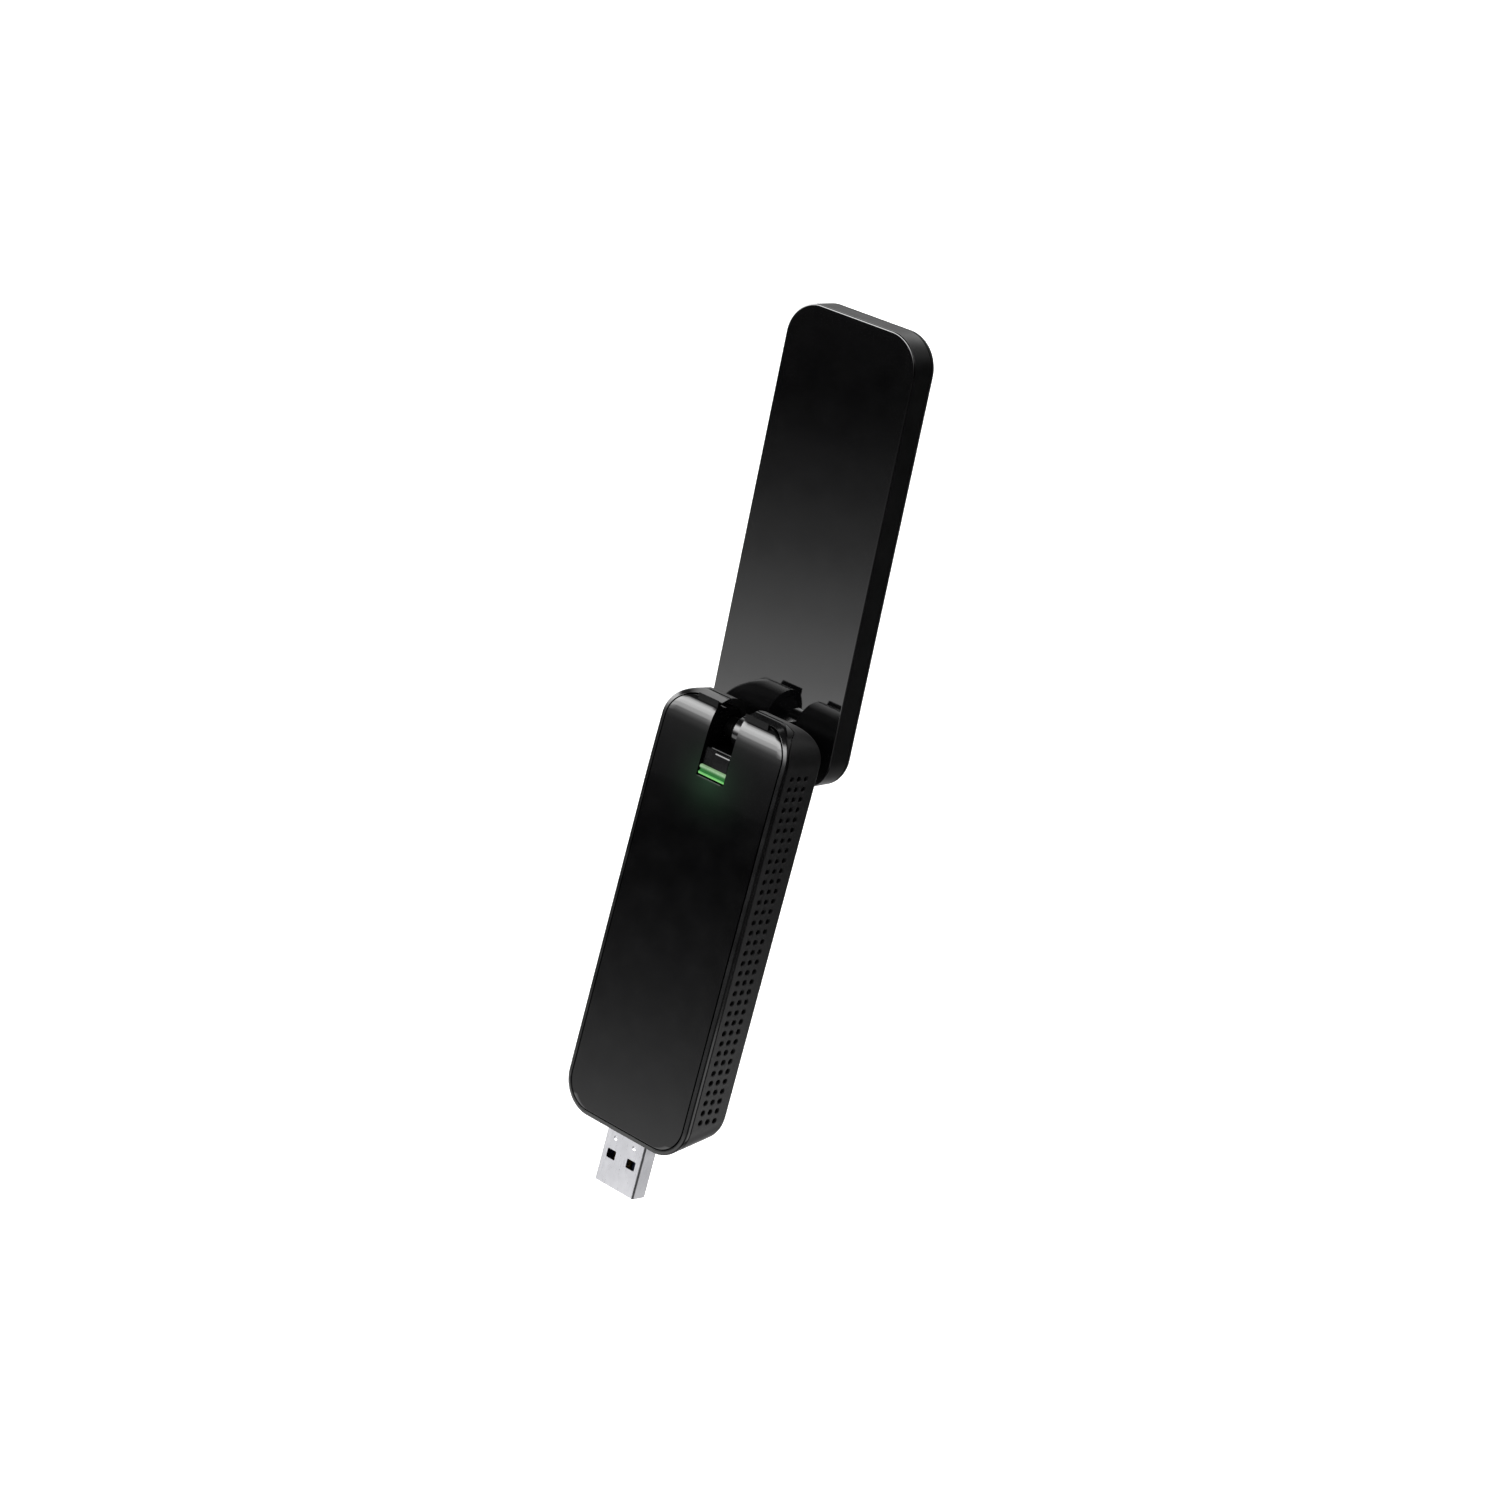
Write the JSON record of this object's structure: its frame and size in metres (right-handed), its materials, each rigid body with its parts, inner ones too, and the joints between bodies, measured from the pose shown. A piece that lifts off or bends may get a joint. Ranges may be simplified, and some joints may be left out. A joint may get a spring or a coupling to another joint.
{
  "type": "usb wifi adapter",
  "caption": "Slim black USB plug-in wireless adapter with vented sides, a lit bar and a flat antenna panel hinged in a notch at its top end.",
  "frame": {"origin": "centre of the USB plug's open end, in the plane of its tip", "axes": "+Z along the body away from the plug, +Y out of the body's back, X across the width"},
  "size_m": [0.0372, 0.0242, 0.2054],
  "materials": {
    "gloss_black": "piano-black gloss with faint fine scuffs",
    "panel_gloss_black": "mirror-like black gloss face, satin side band",
    "satin_black": "fine-textured satin black moulding",
    "hinge_black": "smooth semi-gloss black moulding",
    "friction_spring": "blackened steel",
    "label_grey": "blank satin film",
    "plated_steel": "bright nickel-plated pressed steel",
    "contact_gold": "gold flash",
    "tongue_blue": "moulded blue insulator",
    "board_green": "solder-masked laminate",
    "chip_black": "epoxy package",
    "thermal_grey": "soft grey",
    "light_green": "clear lens lit green from behind",
    "antenna_copper": "printed copper",
    "lead_grey": "thin grey jacket"
  },
  "bodies": {
    "adapter": {"front_cover": "gloss_black", "trim_rim": "gloss_black", "housing_shell": "satin_black", "hinge_cradle": "hinge_black", "friction_clutch": "friction_spring", "rating_label": "label_grey", "usb_shell": "plated_steel", "hinge_pin": "plated_steel", "board_screw_1": "plated_steel", "board_screw_2": "plated_steel", "shield_can": "plated_steel", "crystal": "plated_steel", "usb_contact_1": "contact_gold", "usb_contact_2": "contact_gold", "usb_contact_3": "contact_gold", "usb_contact_4": "contact_gold", "usb_spring_contact_1": "contact_gold", "usb_spring_contact_2": "contact_gold", "usb_spring_contact_3": "contact_gold", "usb_spring_contact_4": "contact_gold", "usb_spring_contact_5": "contact_gold", "antenna_socket_1": "contact_gold", "antenna_socket_2": "contact_gold", "usb_tongue": "tongue_blue", "main_board": "board_green", "wifi_chip": "chip_black", "voltage_regulator": "chip_black", "thermal_pad": "thermal_grey", "power_inductor": "thermal_grey", "light_guide": "light_green", "led_chip": "light_green", "coax_lead_1": "lead_grey", "coax_lead_2": "lead_grey"},
    "antenna_panel": {"hinge_arm": "hinge_black", "panel_front_shell": "panel_gloss_black", "panel_back_cover": "satin_black", "foot_screw_1": "plated_steel", "foot_screw_2": "plated_steel", "antenna_board": "board_green", "antenna_element_1": "antenna_copper", "antenna_element_2": "antenna_copper", "antenna_element_3": "antenna_copper", "antenna_element_4": "antenna_copper", "panel_lead_1": "lead_grey", "panel_lead_2": "lead_grey"}
  },
  "joints": [
    {"name": "panel_fold", "type": "hinge", "parent": "adapter", "child": "antenna_panel", "pos_m": [0, 0.0021, 0.11], "axis": [1, 0, 0], "range_deg": [-4.75, 175.25]}
  ]
}
